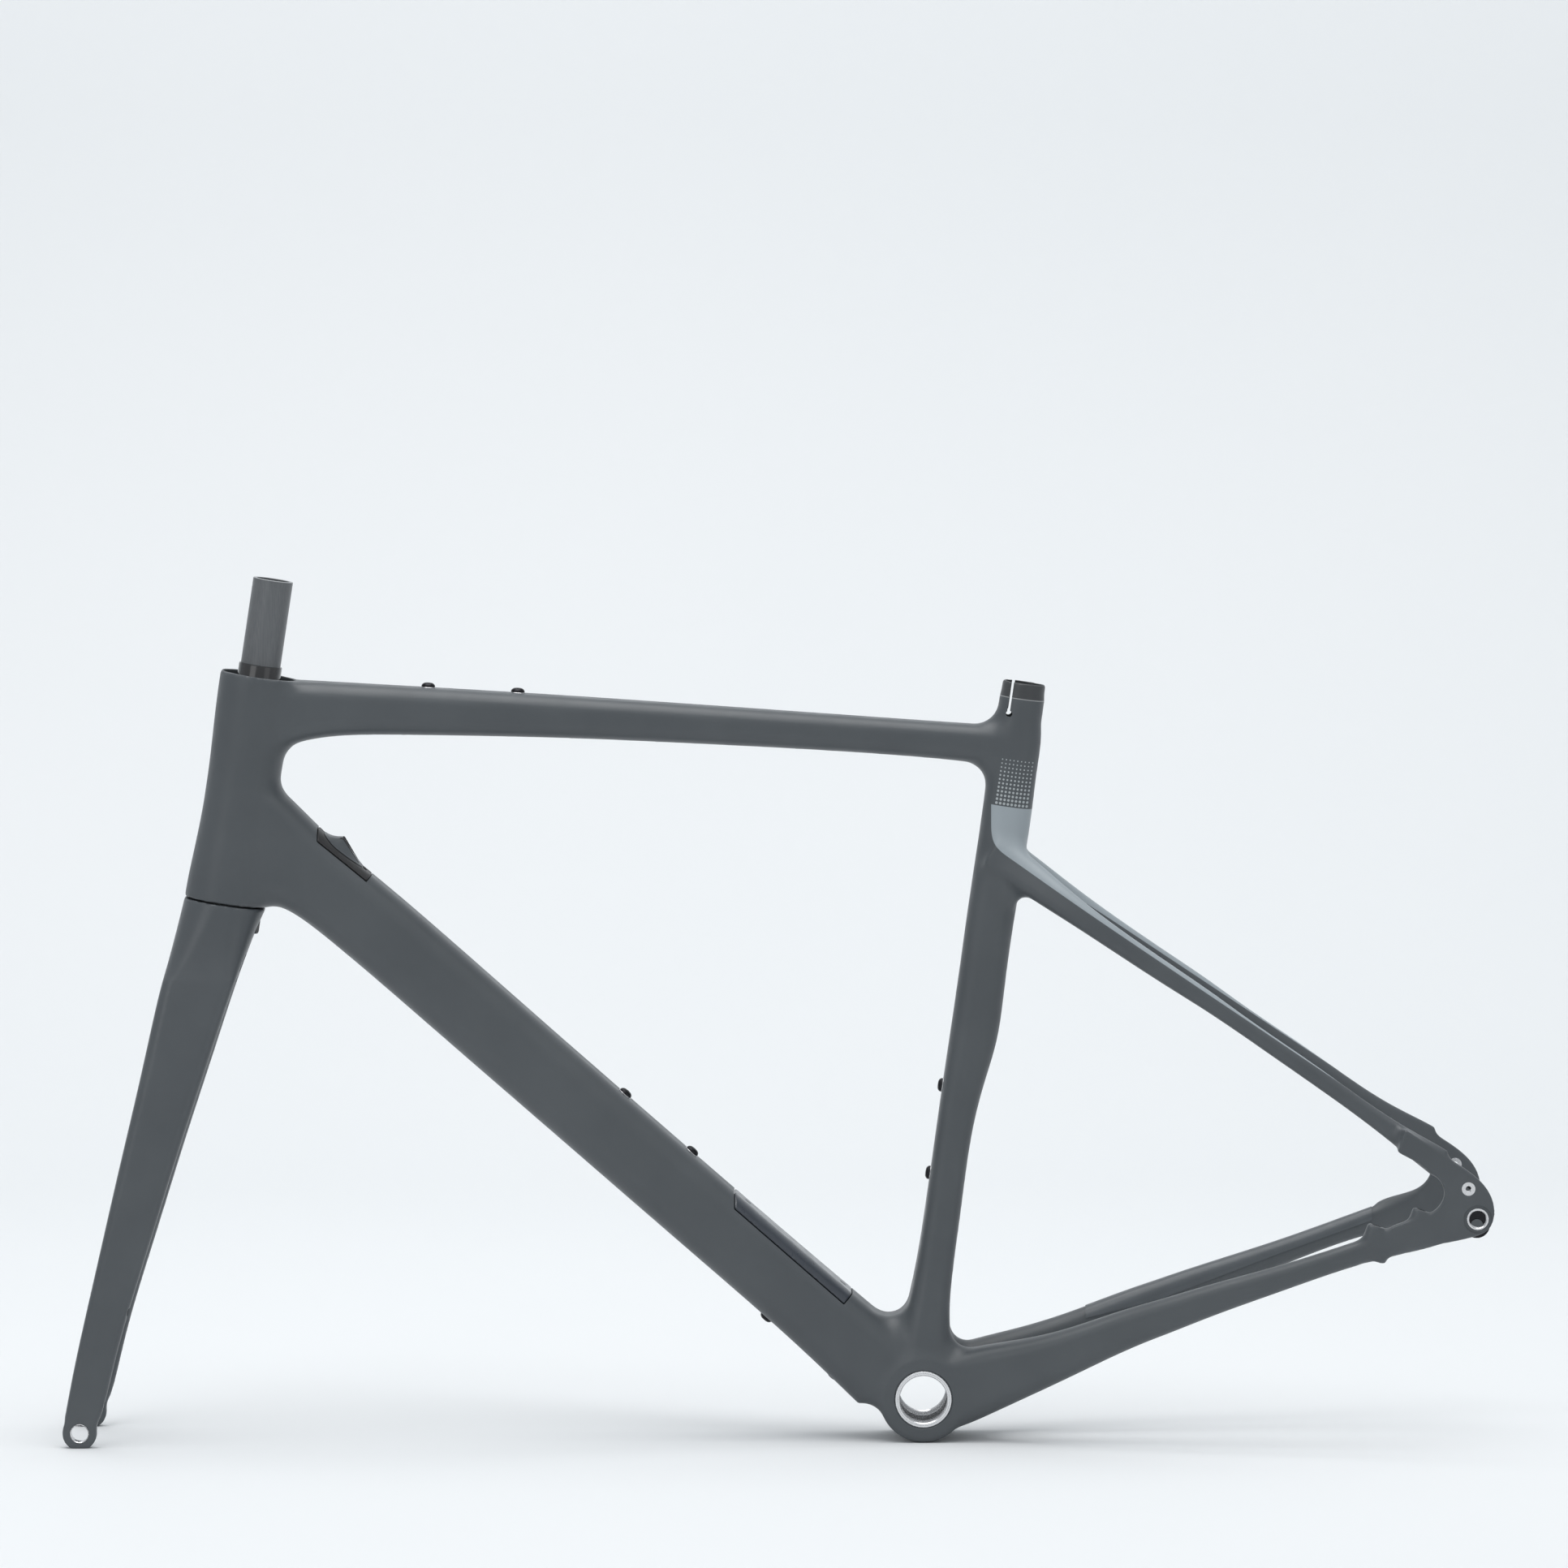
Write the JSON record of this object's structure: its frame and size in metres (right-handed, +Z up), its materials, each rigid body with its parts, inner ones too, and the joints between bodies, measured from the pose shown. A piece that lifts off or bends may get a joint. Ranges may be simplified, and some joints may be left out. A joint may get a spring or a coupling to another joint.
{
  "type": "bicycle frameset",
  "caption": "Carbon road bicycle frame with matching disc brake fork on its headset bearings, bare of wheels and parts.",
  "frame": {"origin": "centre of the bottom bracket", "axes": "+X to the front, +Y to the rider's left, +Z up, with the frameset standing on its fork tips and bracket shell"},
  "size_m": [1.0267, 0.1578, 0.6195],
  "materials": {
    "frame_paint": "matte dark grey paint over carbon",
    "fork_paint": "satin dark grey paint over carbon",
    "raw_carbon": "bare satin carbon",
    "cover_plastic": "smooth dark plastic",
    "black_plastic": "moulded black plastic or rubber",
    "black_steel": "black oxide",
    "bright_alloy": "machined",
    "bearing_steel": "ground"
  },
  "bodies": {
    "frame": {"head_tube": "frame_paint", "top_tube": "frame_paint", "down_tube": "frame_paint", "seat_tube": "frame_paint", "bb_shell": "frame_paint", "chainstay_left": "frame_paint", "chainstay_right": "frame_paint", "seatstay_left": "frame_paint", "seatstay_right": "frame_paint", "dropout_left": "frame_paint", "dropout_right": "frame_paint", "battery_cover": "cover_plastic", "battery_cover_screws": "black_steel", "cable_port_cover": "black_plastic", "chainstay_guard": "black_plastic", "bb_cup_left": "bright_alloy", "bb_cup_right": "bright_alloy", "axle_insert_left": "bright_alloy", "derailleur_hanger": "bright_alloy", "eyelet_inserts": "bright_alloy", "rear_brake_sleeves": "bright_alloy", "top_tube_bolts": "black_steel", "down_tube_bolts": "black_steel", "down_tube_lower_bolts": "black_steel", "seat_tube_bolts": "black_steel", "bolt_washers": "bright_alloy", "rivet_nuts": "bright_alloy", "upper_bearing_outer": "bearing_steel", "lower_bearing_outer": "bearing_steel"},
    "fork": {"upper_bearing_inner": "bearing_steel", "upper_bearing_balls": "bearing_steel", "lower_bearing_inner": "bearing_steel", "lower_bearing_balls": "bearing_steel", "compression_ring": "black_plastic", "crown_race": "bearing_steel", "steerer_tube": "raw_carbon", "fork_crown": "fork_paint", "fork_blade_left": "fork_paint", "fork_blade_right": "fork_paint", "fork_insert_left": "bright_alloy", "fork_insert_right": "bright_alloy", "fork_brake_inserts": "bright_alloy", "crown_plug": "black_plastic", "crown_grommet": "black_plastic"}
  },
  "joints": [
    {"name": "steering", "type": "hinge", "parent": "frame", "child": "fork", "pos_m": [0.4749, 0, 0.5176], "axis": [-0.1502, 0, 0.9887], "continuous": true}
  ]
}
